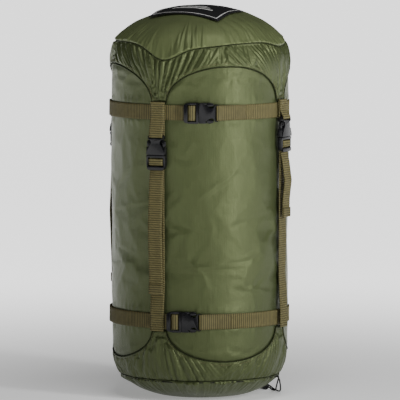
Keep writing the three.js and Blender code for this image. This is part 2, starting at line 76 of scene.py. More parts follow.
# ---- Places taken from the frame ----
TOP_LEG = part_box("crown_skirt")[0].z
TOP_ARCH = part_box("crown_hem_piping")[1].z + GAP
BASE_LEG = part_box("base_skirt")[1].z
BASE_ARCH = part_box("base_hem_piping")[0].z - GAP
CROWN_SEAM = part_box("crown_skirt")[1].z
BASE_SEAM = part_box("base_skirt")[0].z
TUBE_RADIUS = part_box("main_tube")[1].y
GIRTH_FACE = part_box("upper_girth_strap")[1].x
GIRTHS = {
    "upper_girth": sum(v.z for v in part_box("upper_girth_strap")) / 2,
    "lower_girth": sum(v.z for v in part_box("lower_girth_strap")) / 2,
}
GIRTH_AZIMUTHS = {"upper_girth": 1, "lower_girth": -9.4}
BUCKLE_TOPS = {name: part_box(f"buckle_{name}_socket")[1].z + 0.8 * MM for name in STRAPS}

SKIN_NODES = ("base_disc", "base_skirt", "crown_skirt", "crown_disc")
OUTLINE_STEPS = 600


def outermost(corners):
    """The corners of a profile that no straight line between two others passes outside, from low to high."""
    kept = []
    for height, radius in sorted(corners):
        while len(kept) > 1:
            (z1, r1), (z2, r2) = kept[-2:]
            if (z2 - z1) * (radius - r1) - (r2 - r1) * (height - z1) < 0:
                break
            kept.pop()
        kept.append((height, radius))
    return kept


def skin_outline():
    """The skin's outline as radius and height, in even steps from the standing flat to the crown, and eased."""
    corners = {
        (round(v.co.z, 4), round(math.hypot(v.co.x, v.co.y), 4))
        for node in SKIN_NODES
        for v in frame["nodes"][node].data.vertices
    }
    flat = max(radius for height, radius in corners if height < 0.05 * MM)
    line = [Vector((r, z)) for z, r in outermost({c for c in corners if c[0] > 0.05 * MM or c[1] == flat})]
    reach = [0.0]
    for a, b in zip(line, line[1:]):
        reach.append(reach[-1] + (b - a).length)
    even = []
    for i in range(OUTLINE_STEPS + 1):
        along = reach[-1] * i / OUTLINE_STEPS
        k = min(bisect_right(reach, along), len(line) - 1)
        even.append(line[k - 1].lerp(line[k], (along - reach[k - 1]) / max(reach[k] - reach[k - 1], 1e-9)))
    for _ in range(50):
        inner = [(a + 2 * b + c) / 4 for a, b, c in zip(even, even[1:], even[2:])]
        even = [even[0], *inner, even[-1]]
    return even


OUTLINE = skin_outline()
OUTLINE_HEIGHTS = [point.y for point in OUTLINE]


def outline_index(height):
    """The outline's place at a height, as a fractional index."""
    k = min(max(bisect_right(OUTLINE_HEIGHTS, height), 1), OUTLINE_STEPS)
    low, high = OUTLINE_HEIGHTS[k - 1], OUTLINE_HEIGHTS[k]
    return k - 1 + min(1.0, max(0.0, (height - low) / max(high - low, 1e-9)))


def outline_at(index):
    k = min(int(index), OUTLINE_STEPS - 1)
    return OUTLINE[k].lerp(OUTLINE[k + 1], index - k)


def skin_radius(height):
    return outline_at(outline_index(height)).x


def crown_height(radius):
    """The crown's height at a radius, near the axis."""
    top = next(i for i in range(OUTLINE_STEPS, 0, -1) if OUTLINE[i].x >= radius)
    a, b = OUTLINE[top], OUTLINE[min(top + 1, OUTLINE_STEPS)]
    return a.y + (b.y - a.y) * min(1.0, max(0.0, (a.x - radius) / max(a.x - b.x, 1e-9)))


# ---- Small tools ----
def select_only(piece):
    bpy.ops.object.select_all(action="DESELECT")
    piece.select_set(True)
    bpy.context.view_layer.objects.active = piece


@contextmanager
def editing(piece):
    """Edit mode, with the whole piece selected."""
    select_only(piece)
    bpy.ops.object.mode_set(mode="EDIT")
    bpy.ops.mesh.select_all(action="SELECT")
    yield
    bpy.ops.object.mode_set(mode="OBJECT")


def linked(name, data):
    """A new object that is in the scene."""
    made = bpy.data.objects.new(name, data)
    bpy.context.scene.collection.objects.link(made)
    return made


def smoothstep(low, high, value):
    t = min(1.0, max(0.0, (value - low) / (high - low)))
    return t * t * (3 - 2 * t)


def on_azimuth(azimuth, radius, height):
    a = math.radians(azimuth)
    return Vector((radius * math.sin(a), -radius * math.cos(a), height))


def turn_from(centre, azimuth):
    """Degrees from centre to an azimuth, -180 to 180."""
    return (azimuth - centre + 180) % 360 - 180


def from_nearest_strap(azimuth):
    """Degrees from the nearest vertical strap, positive to its right."""
    first = STRAPS["front_left"]
    return (azimuth - first + QUARTER / 2) % QUARTER - QUARTER / 2


def hem_height(azimuth, leg, arch):
    """A scalloped hem's height: level across a leg, half an ellipse between two legs."""
    local = QUARTER / 2 - abs(from_nearest_strap(azimuth))
    across = local / (QUARTER / 2 - LEG_HALF_ANGLE)
    return leg + (arch - leg) * math.sqrt(max(0.0, 1 - across * across))


def soft_noise(azimuth, height, wide, tall, seed):
    """Smooth noise on the sack's wall, about -1 to 1, whose lumps are wide by tall metres."""
    spot = on_azimuth(azimuth, TUBE_RADIUS / wide, height / tall)
    return noise.noise(spot + Vector((seed * 17.3, seed * 5.1, seed * 9.7)))


def woven_grid(name, columns, rows, place, size):
    """A grid whose points are moved to place(u, v), with its UV map in metres of cloth."""
    bpy.ops.object.select_all(action="DESELECT")
    bpy.ops.mesh.primitive_grid_add(x_subdivisions=columns, y_subdivisions=rows, size=1, calc_uvs=True)
    piece = bpy.context.object
    piece.name = name
    for vertex in piece.data.vertices:
        vertex.co = place(vertex.co.x + 0.5, vertex.co.y + 0.5)
    for corner in piece.data.uv_layers.active.data:
        corner.uv = (corner.uv[0] * size[0], corner.uv[1] * size[1])
    with editing(piece):
        bpy.ops.mesh.remove_doubles(threshold=SAME_PLACE)
    bpy.ops.object.shade_smooth()
    return piece


def thicken(piece, thickness, offset=-1.0):
    select_only(piece)
    wall = piece.modifiers.new("wall", "SOLIDIFY")
    wall.thickness = thickness
    wall.offset = offset
    bpy.ops.object.modifier_apply(modifier=wall.name)
    return piece


def finish_piece(piece, body, slot, finish, *nodes):
    """Gives a piece its material, its body and the CAD nodes that it stands for; its slot is not used."""
    piece.data.materials.clear()
    piece.data.materials.append(finish)
    if body:
        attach(piece, body)
    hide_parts(*nodes)
    return piece


# ---- Settings ----
def colour(name, description, value):
    return bpy.props.FloatVectorProperty(
        name=name, description=description, default=value, size=3, min=0, max=1, subtype="COLOR"
    )


def distance(name, description, value):
    return bpy.props.FloatProperty(
        name=name, description=description, default=value, unit="LENGTH", subtype="DISTANCE", precision=4
    )


class SackClothSettings(bpy.types.PropertyGroup):
    shell: colour("Shell", "Colour of the wall, the skirts and the base", (0.039, 0.049, 0.020))
    crown: colour("Crown", "Colour of the top panel", (0.078, 0.095, 0.040))
    # The binding colour also colours the dark seam cords, which are painted shade.
    binding: colour("Binding", "Colour of the bound edges", (0.014, 0.018, 0.006))
    thickness: distance("Thickness", "The shell fabric with its coating", 0.6 * MM)
    fold_depth: distance("Fold depth", "How far a gathered fold stands out", 5.0 * MM)
    pucker_depth: distance("Pucker depth", "How deep the puckers along a seam are", 1.6 * MM)
    slack: bpy.props.FloatProperty(
        name="Slack", description="Spare cloth in the skirts, as a share", default=0.035, min=0, max=0.3
    )
    wall_slack: bpy.props.FloatProperty(
        name="Wall slack", description="Spare cloth in the wall, as a share", default=0.005, min=0, max=0.1
    )


class SackWebbingSettings(bpy.types.PropertyGroup):
    colour: colour("Webbing", "Colour of the webbing", (0.110, 0.096, 0.035))
    width: distance("Width", "Width of the webbing", 20 * MM)
    thickness: distance("Thickness", "Thickness of the webbing", 1.3 * MM)
    rib_pitch: distance("Rib pitch", "From one woven rib to the next", 3.0 * MM)
    rib_height: distance("Rib height", "How far a rib stands out", 0.17 * MM)


class SackTrimSettings(bpy.types.PropertyGroup):
    plastic: colour("Plastic", "Colour of the buckles and the cord lock", (0.004, 0.004, 0.005))
    cord: colour("Cord", "Colour of the drawcord", (0.012, 0.012, 0.011))
    label: colour("Label", "Colour of the label's ground", (0.004, 0.004, 0.0045))
    mark: colour("Mark", "Colour of the label's border and bars", (0.62, 0.62, 0.60))
    thread: colour("Thread", "Colour of the stitching", (0.120, 0.110, 0.055))


# ---- Finishes ----
class Finish:
    """A node material under construction."""

    def __init__(self, name, base, roughness, **sockets):
        self.material = bpy.data.materials.new(name)
        self.material.use_nodes = True
        self.tree = self.material.node_tree
        self.shader = self.tree.nodes["Principled BSDF"]
        self.shader.inputs["Base Color"].default_value = (*base, 1)
        self.shader.inputs["Roughness"].default_value = roughness
        self.base = base
        for key, value in sockets.items():
            self.shader.inputs[key.replace("_", " ")].default_value = value

    def node(self, kind, inputs=(), **settings):
        made = self.tree.nodes.new(kind)
        for key, value in settings.items():
            setattr(made, key, value)
        for key, value in dict(inputs).items():
            if isinstance(value, bpy.types.NodeSocket):
                self.tree.links.new(value, made.inputs[key])
            else:
                made.inputs[key].default_value = value
        return made

    def coordinates(self, kind="UV"):
        return self.node("ShaderNodeTexCoord").outputs[kind]

    def noise(self, where, scale, detail=3):
        inputs = {"Vector": where, "Scale": scale, "Detail": detail}
        return self.node("ShaderNodeTexNoise", inputs).outputs["Fac"]

    def bands(self, where, pitch, direction):
        """A smooth wave with the given pitch in metres."""
        scale = 2 * math.pi / (20 * pitch)
        wave = self.node("ShaderNodeTexWave", {"Vector": where, "Scale": scale}, bands_direction=direction)
        return wave.outputs["Fac"]

    def maths(self, operation, *values):
        return self.node("ShaderNodeMath", dict(enumerate(values)), operation=operation).outputs[0]

    def mix_colours(self, factor, a, b):
        mix = self.node("ShaderNodeMix", data_type="RGBA")
        for socket, value in ((mix.inputs[0], factor), (mix.inputs[6], a), (mix.inputs[7], b)):
            if isinstance(value, bpy.types.NodeSocket):
                self.tree.links.new(value, socket)
            else:
                socket.default_value = value
        return mix.outputs[2]

    def shaded(self, amount):
        return (*[min(1.0, c * amount) for c in self.base], 1)

    def colour_by(self, factor, dark, light):
        ramp = self.node("ShaderNodeMapRange", {"Value": factor, "From Min": 0.3, "From Max": 0.7})
        self.paint(self.mix_colours(ramp.outputs["Result"], self.shaded(dark), self.shaded(light)))

    def paint(self, output):
        self.tree.links.new(output, self.shader.inputs["Base Color"])

    def bump(self, height, distance, strength=1.0, under=None):
        inputs = {"Height": height, "Distance": distance, "Strength": strength}
        if under:
            inputs["Normal"] = under
        return self.node("ShaderNodeBump", inputs).outputs["Normal"]

    def relief(self, normal):
        self.tree.links.new(normal, self.shader.inputs["Normal"])
        return self.material


def shell_finish(name, base, roughness):
    """Coated polyester: a fine weave, drawn threads, and a satin shine that takes the cloth's own colour."""
    made = Finish(name, base, roughness, Specular_IOR_Level=0.62)
    made.shader.inputs["Specular Tint"].default_value = (0.80, 0.92, 0.46, 1)
    cloth, place = made.coordinates("UV"), made.coordinates("Object")
    drawn = made.node("ShaderNodeMapping", {"Vector": cloth, "Scale": (1, 0.03, 1)}).outputs["Vector"]
    threads = made.noise(drawn, 900, 2)
    lumps = made.noise(place, 14, 4)
    made.colour_by(made.maths("MULTIPLY_ADD", threads, 0.4, made.maths("MULTIPLY", lumps, 0.6)), 0.80, 1.18)
    limits = {"Value": lumps, "To Min": roughness - 0.1, "To Max": roughness + 0.12}
    worn = made.node("ShaderNodeMapRange", limits)
    made.tree.links.new(worn.outputs["Result"], made.shader.inputs["Roughness"])
    weave = made.maths("MULTIPLY", made.bands(cloth, 0.7 * MM, "X"), made.bands(cloth, 0.7 * MM, "Y"))
    creases = made.bump(made.noise(place, 70, 5), 0.9 * MM, 0.5)
    streaks = made.bump(threads, 0.16 * MM, 0.7, creases)
    return made.relief(made.bump(weave, 0.08 * MM, 0.5, streaks))


def webbing_finish(name, base, pitch):
    """Woven webbing: a rib across it at every pitch, with painted shade darkening the valley between each rib
    and the next, fine yarns, and a slightly uneven dye.
    """
    made = Finish(name, base, 0.7, Specular_IOR_Level=0.3)
    cloth = made.coordinates("UV")
    ribs_and_valley_shade = made.maths("POWER", made.bands(cloth, pitch, "Y"), 0.6)
    yarns = made.bands(cloth, 1.1 * MM, "X")
    dye = made.maths("MULTIPLY", made.noise(cloth, 120), 0.35)
    # The rib wave darkens the colour in each valley: painted shade; the dye noise is the webbing's own uneven
    # tone.
    made.colour_by(made.maths("ADD", made.maths("MULTIPLY", ribs_and_valley_shade, 0.5), dye), 0.42, 1.25)
    twill = made.maths("ADD", ribs_and_valley_shade, made.maths("MULTIPLY", yarns, 0.4))
    return made.relief(made.bump(twill, 0.35 * MM, 0.9))


def plastic_finish(name, base):
    """Moulded acetal with a fine spark-eroded grain and paler rubbed spots."""
    made = Finish(name, base, 0.24, Specular_IOR_Level=0.28)
    place = made.coordinates("Object")
    rubbed = made.noise(place, 120, 4)
    made.colour_by(rubbed, 0.85, 1.35)
    return made.relief(made.bump(made.noise(place, 2600, 2), 0.03 * MM, 0.4))


def braid_finish(name, base):
    made = Finish(name, base, 0.85, Specular_IOR_Level=0.15)
    place = made.coordinates("Object")
    made.colour_by(made.noise(place, 300), 0.8, 1.5)
    return made.relief(made.bump(made.noise(place, 1800, 2), 0.2 * MM, 0.7))


def filling_finish(name):
    made = Finish(name, (0.48, 0.45, 0.38), 0.85)
    place = made.coordinates("Object")
    made.colour_by(made.noise(place, 30), 0.9, 1.1)
    return made.relief(made.bump(made.noise(place, 50, 4), 3 * MM, 0.6))


def steel_finish(name):
    made = Finish(name, (0.6, 0.6, 0.6), 0.3, Metallic=1.0)
    place = made.coordinates("Object")
    made.colour_by(made.noise(place, 400), 0.9, 1.05)
    return made.relief(made.bump(made.noise(place, 900), 0.02 * MM, 0.4))


def label_finish(name, ground, mark, size):
    """A woven patch: a pale line inside its edge and three plain bars, on a dark ground."""
    made = Finish(name, ground, 0.7, Specular_IOR_Level=0.3)
    cloth = made.coordinates("UV")
    split = made.node("ShaderNodeSeparateXYZ", {0: cloth})
    across = made.maths("ABSOLUTE", made.maths("SUBTRACT", split.outputs[0], size[0] / 2), 0)
    along = made.maths("ABSOLUTE", made.maths("SUBTRACT", split.outputs[1], size[1] / 2), 0)
    past_end = made.maths("SUBTRACT", across, size[0] / 2)
    past_side = made.maths("SUBTRACT", along, size[1] / 2)
    outside = made.maths("MAXIMUM", past_end, past_side)
    line = made.maths("COMPARE", outside, -5 * MM)
    line.node.inputs[2].default_value = 0.7 * MM
    bars = None
    for offset, half in ((-11 * MM, 30 * MM), (-3 * MM, 22 * MM), (5 * MM, 14 * MM)):
        level = made.maths("COMPARE", made.maths("SUBTRACT", split.outputs[1], size[1] / 2 + offset), 0.0)
        level.node.inputs[2].default_value = 1.6 * MM
        one = made.maths("MULTIPLY", level, made.maths("LESS_THAN", across, half))
        bars = one if bars is None else made.maths("MAXIMUM", bars, one)
    drawn = made.maths("MAXIMUM", line, bars)
    made.paint(made.mix_colours(drawn, (*ground, 1), (*mark, 1)))
    yarns = made.maths("MULTIPLY", made.bands(cloth, 0.8 * MM, "X"), made.bands(cloth, 0.8 * MM, "Y"))
    return made.relief(made.bump(yarns, 0.15 * MM, 0.7, made.bump(drawn, 0.3 * MM)))


def floor_finish(name):
    """A pale sweep that glows a little from some way off, as one lit all round does."""
    made = Finish(name, (0.85, 0.85, 0.85), 0.9)
    away = made.node("ShaderNodeVectorMath", {0: made.coordinates("Object")}, operation="LENGTH")
    glow = {"Value": away.outputs["Value"], "From Min": 0.2, "From Max": 1.6, "To Min": 0.3, "To Max": 1.8}
    rise = made.node("ShaderNodeMapRange", glow, interpolation_type="SMOOTHSTEP").outputs["Result"]
    made.tree.links.new(rise, made.shader.inputs["Emission Strength"])
    made.shader.inputs["Emission Color"].default_value = (1, 1, 1, 1)
    return made.material


def finish(name):
    """The named material, made the first time that it is asked for."""
    found = bpy.data.materials.get(name)
    if found:
        return found
    cloth = bpy.context.scene.sack_cloth
    webbing = bpy.context.scene.sack_webbing
    trim = bpy.context.scene.sack_trim
    makers = {
        "shell_cloth": lambda: shell_finish(name, cloth.shell, 0.38),
        "crown_cloth": lambda: shell_finish(name, cloth.crown, 0.46),
        "bound_edge_and_seam_shade": lambda: braid_finish(name, cloth.binding),
        "ribbed_webbing": lambda: webbing_finish(name, webbing.colour, webbing.rib_pitch),
        "moulded_plastic": lambda: plastic_finish(name, trim.plastic),
        "braided_cord": lambda: braid_finish(name, trim.cord),
        "sewing_thread": lambda: braid_finish(name, trim.thread),
        "soft_filling": lambda: filling_finish(name),
        "spring_wire": lambda: steel_finish(name),
    }
    return makers[name]()


# ---- Cloth ----
def settle(piece, pinned, slack, frames, stiffness=15.0, bending=0.05):
    """Lets a piece of cloth that is cut larger than its place, by slack as a share, buckle into folds.

    pinned(point) is 1 where the cloth is sewn down and 0 where it is free."""
    select_only(piece)
    sewn = piece.vertex_groups.new(name="sewn")
    for vertex in piece.data.vertices:
        sewn.add([vertex.index], pinned(vertex.co), "REPLACE")
    cloth = piece.modifiers.new("cloth", "CLOTH")
    settings = cloth.settings
    settings.quality = 6
    settings.mass = 0.3
    settings.tension_stiffness = settings.compression_stiffness = stiffness
    settings.shear_stiffness = stiffness / 3
    settings.bending_stiffness = bending
    settings.vertex_group_mass = sewn.name
    settings.shrink_min = settings.shrink_max = -slack
    settings.effector_weights.gravity = 0
    cloth.collision_settings.use_collision = False
    cloth.point_cache.frame_start = 1
    cloth.point_cache.frame_end = frames
    for step in range(1, frames + 1):
        bpy.context.scene.frame_set(step)
    bpy.ops.object.modifier_apply(modifier=cloth.name)
    bpy.context.scene.frame_set(1)
    return piece


def rest_on_load(piece, least, most):
    """Keeps cloth between two distances from the skin: it lies on the load, and it can't stand far off."""
    for vertex in piece.data.vertices:
        radius = math.hypot(vertex.co.x, vertex.co.y)
        away = radius - skin_radius(vertex.co.z)
        if away > 0:
            kept = most * math.tanh(away / most)
        else:
            kept = least * math.tanh(away / least)
        vertex.co.x *= (radius + kept - away) / radius
        vertex.co.y *= (radius + kept - away) / radius


def wall_grid(name, columns, rows, low, high, shape, spacing=lambda v: v):
    """A closed sleeve between two edges given as heights by azimuth; shape(azimuth, height) is its radius."""
    start = STRAPS["front_left"] + 180

    def place(u, v):
        azimuth = start + 360 * (u % 1.0)
        height = low(azimuth) + (high(azimuth) - low(azimuth)) * spacing(v)
        return on_azimuth(azimuth, shape(azimuth, height), height)

    girth = 2 * math.pi * TUBE_RADIUS
    return woven_grid(name, columns, rows, place, (girth, high(0) - low(0)))


def azimuth_of(point):
    return math.degrees(math.atan2(point.x, -point.y))


def lobe(value):
    """Rounded tops between sharp valleys, 0 to 1, with a valley at every whole number."""
    return abs(math.sin(math.pi * value))


HARDEST_PULL = 1.35  # how much deeper the gathers are at the front left strap, which is drawn tightest


def fan(azimuth, height, tip, upwards):
    """Coarse gathers crossed by finer ones that run out of the nearest strap's sewn end, about -0.6 to 0.6."""
    turn = from_nearest_strap(azimuth)
    across = math.radians(turn) * TUBE_RADIUS
    up = (height - tip) * upwards + 22 * MM
    reach = math.hypot(across, up)
    spread = math.atan2(across, up)
    seed = 7.7 * (round((azimuth - turn) / QUARTER) % 4) + upwards
    bend = noise.noise(Vector((spread * 2.3, reach * 11, seed)))
    coarse = lobe(9.5 * spread + 1.1 * bend + seed)
    coarse *= 0.55 + noise.noise(Vector((spread * 4.5, reach * 7, seed + 3)))
    fine = lobe(21 * spread + 2.6 * bend + seed)
    fine *= 0.35 + noise.noise(Vector((spread * 8, reach * 16, seed + 6)))
    pulled = HARDEST_PULL if abs(turn_from(STRAPS["front_left"], azimuth)) < 30 else 1.0
    return pulled * (max(0.0, coarse) + 0.5 * max(0.0, fine) - 0.45) * smoothstep(14 * MM, 40 * MM, reach)


def puckers(azimuth, away, reach, pitch, seed):
    """Short gathers square to a seam, 0 to 1, that die out at about reach from it."""
    a = math.radians(azimuth)
    wander = noise.noise(Vector((math.sin(a) * 9, math.cos(a) * 9, seed)))
    strength = 0.6 + 1.2 * noise.noise(Vector((math.sin(a) * 5, math.cos(a) * 5, seed + 4)))
    longest = reach * (0.75 + 0.9 * noise.noise(Vector((math.sin(a) * 26, math.cos(a) * 26, seed + 8))))
    if away >= longest or strength <= 0:
        return 0.0
    count = round(2 * math.pi * TUBE_RADIUS / pitch)
    return strength * lobe(a * count / (2 * math.pi) + 1.6 * wander) * (1 - away / longest)


def groove(away):
    """How far a seam draws the cloth in, at a distance from it; the cloth's very edge is turned in."""
    turned_in = 2.6 * MM if away < 0.15 * MM else 0
    return 0.8 * MM * math.exp(-((away / (1.5 * MM)) ** 2)) + turned_in


# How far each strap draws the crown's seam down.
SEAM_DIPS = {"front_left": 24 * MM, "front_right": 9 * MM, "back_right": 13 * MM, "back_left": 11 * MM}


def crown_seam(azimuth):
    """The crown's seam, which a strap's pull draws down."""
    height = CROWN_SEAM + 2 * MM + 1.2 * MM * soft_noise(azimuth, 0, 0.05, 1, 5)
    for name, strap in STRAPS.items():
        turn = turn_from(strap, azimuth)
        sharp = 0.65 * math.exp(-(((turn - 3) / 13) ** 2))
        broad = 0.35 * math.exp(-(((turn - 12) / 36) ** 2))
        height -= SEAM_DIPS[name] * (sharp + broad)
    return height


def base_seam(azimuth):
    return BASE_SEAM + 0.5 * MM * soft_noise(azimuth, 0, 0.03, 1, 9)


def top_hem(azimuth):
    return hem_height(azimuth, TOP_LEG, TOP_ARCH)


def base_hem(azimuth):
    return hem_height(azimuth, BASE_LEG, BASE_ARCH)


# Creases in the wall: azimuth, height and length in millimetres, slant in degrees, depth in millimetres.
CREASES = (
    (9, 182, 90, 4, 1.3), (14, 172, 70, -7, 1.0), (24, 191, 60, 12, 0.9), (12, 292, 34, 38, 1.1),
    (20, 302, 40, 47, 1.0), (5, 281, 30, 30, 0.8), (-4, 236, 46, -20, 0.7), (31, 246, 56, 14, 0.8),
    (38, 150, 48, -12, 0.9), (-52, 262, 60, 9, 0.8), (-60, 205, 56, -16, 0.7), (96, 214, 80, 8, 1.2),
    (112, 296, 48, 36, 1.0), (124, 178, 64, -10, 1.0), (176, 262, 70, 12, 1.2), (190, 208, 84, -6, 1.1),
    (206, 318, 40, 42, 0.9), (268, 240, 66, -14, 1.1), (284, 178, 78, 7, 1.2), (300, 300, 44, 33, 0.9),
)


def creased(azimuth, height):
    """The relief of the wall's creases, each a sharp line with one steep side."""
    total = 0.0
    for centre, level, length, slant, depth in CREASES:
        x = math.radians(turn_from(centre, azimuth)) * TUBE_RADIUS
        y = height - level * MM
        if abs(x) > length * MM or abs(y) > length * MM:
            continue
        turn = math.radians(slant)
        along = x * math.cos(turn) + y * math.sin(turn)
        aside = y * math.cos(turn) - x * math.sin(turn)
        aside += 2.5 * MM * noise.noise(Vector((along * 40, centre, 0)))
        fade = math.exp(-((along / (0.35 * length * MM)) ** 2))
        steep = 2.2 * MM if aside < 0 else 7 * MM
        total += depth * MM * fade * math.exp(-abs(aside) / steep)
    return total


def tube_radius(azimuth, height):
    cloth = bpy.context.scene.sack_cloth
    above = top_hem(azimuth) - height
    below = height - base_hem(azimuth)
    edge = min(above, below)
    open_cloth = smoothstep(0, 10 * MM, edge)
    near = min(abs(height - girth) for girth in GIRTHS.values())
    held = 1 - smoothstep(9 * MM, 30 * MM, near)
    free = open_cloth * (1 - held)
    long_folds = 1.5 * MM * soft_noise(azimuth, height, 0.05, 0.16, 1)
    mottle = 0.7 * MM * soft_noise(azimuth + 40 * height, height, 0.02, 0.035, 2)
    gathered = 0.7 * cloth.pucker_depth * puckers(azimuth, max(edge - 2 * MM, 0), 20 * MM, 10 * MM, 3.1)
    pinched = 0.9 * cloth.pucker_depth * puckers(azimuth, max(near - 10 * MM, 0), 15 * MM, 9 * MM, 5.3)
    pinched *= open_cloth * smoothstep(9 * MM, 13 * MM, near)
    relief = free * (long_folds + mottle + gathered + creased(azimuth, height)) + pinched
    return skin_radius(height) - 1.35 * MM + relief


def skirt_radius(hem, seam, upwards, seed):
    """A gathered skirt's radius: folds that fan from each strap, and gathers along its seam and its hem."""
    tip = TOP_LEG if upwards > 0 else BASE_LEG
    depth = 1.0 if upwards > 0 else 0.5

    def shape(azimuth, height):
        cloth = bpy.context.scene.sack_cloth
        from_hem = abs(height - hem(azimuth))
        from_seam = abs(height - seam(azimuth))
        inside = smoothstep(0, 7 * MM, from_hem) * smoothstep(0, 3 * MM, from_seam)
        folds = depth * cloth.fold_depth * fan(azimuth, height, tip, upwards)
        gathers = puckers(azimuth, from_seam, 30 * MM, 7 * MM, seed)
        gathers += 0.7 * puckers(azimuth, from_hem, 12 * MM, 8 * MM, seed + 1)
        lumps = 1.0 * MM * soft_noise(azimuth, height, 0.016, 0.06, seed)
        drawn_in = 0.6 * MM * math.exp(-from_seam / (18 * MM))
        relief = folds + cloth.pucker_depth * (gathers - 0.5) + lumps - drawn_in
        return skin_radius(height) + inside * relief - groove(from_seam)

    return shape


# How finely each cloth is divided, round the sack and across.
WALL_GRID, SKIRT_GRID, DISC_GRID = (340, 140), (560, 56), (560, 64)
# How far settled cloth may lie inside and outside the skin.
WALL_PLAY, SKIRT_PLAY = (-2.6 * MM, 1.8 * MM), (-3.2 * MM, 2.2 * MM)
WALL_FRAMES, SKIRT_FRAMES = 10, 16
UNDER_HEM = 10 * MM  # the wall runs on under each hem


class SACK_OT_wall(bpy.types.Operator):
    """Makes the sack's wall, pinched at the girth straps and gathered at both hems"""

    bl_idname = "sack.wall"
    bl_label = "Wall"

    def execute(self, context):
        cloth = context.scene.sack_cloth

        def low(azimuth):
            return base_hem(azimuth) - UNDER_HEM

        def high(azimuth):
            return top_hem(azimuth) + UNDER_HEM

        wall = wall_grid("wall_cloth", *WALL_GRID, low, high, tube_radius)

        def pinned(point):
            azimuth = azimuth_of(point)
            edge = min(top_hem(azimuth) - point.z, point.z - base_hem(azimuth))
            girth = min(abs(point.z - height) for height in GIRTHS.values())
            return max(1.0 - smoothstep(1 * MM, 8 * MM, edge), 1.0 - smoothstep(11 * MM, 45 * MM, girth))

        settle(wall, pinned, cloth.wall_slack, WALL_FRAMES, bending=0.5)
        rest_on_load(wall, *WALL_PLAY)
        thicken(wall, cloth.thickness)
        finish_piece(wall, None, "shell_fabric", finish("shell_cloth"), "main_tube")
        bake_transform(wall)
        return {"FINISHED"}


class SACK_OT_skirts(bpy.types.Operator):
    """Makes the two gathered skirts with their scalloped hems"""

    bl_idname = "sack.skirts"
    bl_label = "Skirts"

    def execute(self, context):
        cloth = context.scene.sack_cloth
        sides = (
            ("crown_skirt", "crown", top_hem, crown_seam, 1, 2.3),
            ("base_skirt", "base", base_hem, base_seam, -1, 6.7),
        )
        for node, body, hem, seam, upwards, seed in sides:
            low, high = (hem, seam) if upwards > 0 else (seam, hem)
            shape = skirt_radius(hem, seam, upwards, seed)
            spacing = (lambda v: 1 - (1 - v) ** 1.4) if upwards > 0 else (lambda v: v**1.4)
            skirt = wall_grid(f"{node}_cloth", *SKIRT_GRID, low, high, shape, spacing)

            def pinned(point, hem=hem, seam=seam):
                azimuth = azimuth_of(point)
                edge = min(abs(point.z - hem(azimuth)), abs(point.z - seam(azimuth)))
                return 1.0 if edge < 1.5 * MM else 0.0

            settle(skirt, pinned, cloth.slack, SKIRT_FRAMES)
            rest_on_load(skirt, *SKIRT_PLAY)
            thicken(skirt, cloth.thickness)
            finish_piece(skirt, body, "shell_fabric", finish("shell_cloth"), node)

            # Along each seam lies a dark cord, just proud of the cloth, that draws the seam's shadow line:
            # painted shade.
            def line(azimuth, seam=seam):
                height = seam(azimuth) + 0.5 * MM
                return on_azimuth(azimuth, skin_radius(height) - 0.6 * MM, height)

            bound = ring(f"{node}_seam_shadow_cord", line, 0.8 * MM)
            finish_piece(bound, body, "edge_binding", finish("bound_edge_and_seam_shade"))
        return {"FINISHED"}


class SACK_OT_discs(bpy.types.Operator):
    """Makes the domed crown and the rounded base, each puckered along its seam"""

    bl_idname = "sack.discs"
    bl_label = "Crown and base"

    def execute(self, context):
        cloth = context.scene.sack_cloth
        top, flat = OUTLINE_STEPS, OUTLINE[0].x
        rim, base_rim = skin_radius(CROWN_SEAM), skin_radius(BASE_SEAM - 2.6 * MM)

        def relief(azimuth, radius, away, seed):
            gathered = 1.8 * cloth.pucker_depth * puckers(azimuth, away, 17 * MM, 7 * MM, seed)
            pleats = 2.2 * cloth.pucker_depth * puckers(azimuth, away, 46 * MM, 23 * MM, seed + 2)
            lumps = 2.6 * MM * noise.noise(on_azimuth(azimuth, radius * 17, seed))
            near = smoothstep(0, 3 * MM, away)
            lumps *= smoothstep(0, 20 * MM, away)
            return near * (gathered + pleats - 0.6 * cloth.pucker_depth) + lumps - groove(away)

        def crown(u, v):
            azimuth = 360 * (u % 1.0)
            seam = outline_index(crown_seam(azimuth))
            spot = outline_at(seam + (top - seam) * v**1.5)
            away = (spot - outline_at(seam)).length
            out = Vector((spot.x, (spot.y - 0.42) * 0.9)).normalized()
            spot = spot + out * (relief(azimuth, spot.x, away, 1.7) + drawn_folds(azimuth, spot.x))
            return on_azimuth(azimuth, spot.x, spot.y) if v < 1 else Vector((0, 0, OUTLINE[-1].y))

        def base(u, v):
            azimuth = 360 * (u % 1.0)
            seam = outline_index(base_seam(azimuth))
            edge = outline_at(seam)
            radius = edge.x * (1 - (1 - v) ** 1.5)
            if radius <= flat:
                return on_azimuth(azimuth, radius, 0)
            spot = outline_at(seam * (radius - flat) / (edge.x - flat))
            away = (edge - spot).length
            out = Vector((spot.x - 0.06, spot.y - 0.06)).normalized()
            spot = spot + out * relief(azimuth, spot.x, away, 4.9) * smoothstep(0, 30 * MM, spot.x - flat)
            return on_azimuth(azimuth, spot.x, max(0.0, spot.y))

        for name, place, body, slot, look, edge in (
            ("crown_disc", crown, "crown", "crown_fabric", "crown_cloth", rim),
            ("base_disc", base, "base", "shell_fabric", "shell_cloth", base_rim),
        ):
            disc = woven_grid(f"{name}_cloth", *DISC_GRID, place, (2 * math.pi * edge, edge))
            flatten_uv(disc)
            thicken(disc, cloth.thickness)
            finish_piece(disc, body, slot, finish(look), name)
        return {"FINISHED"}


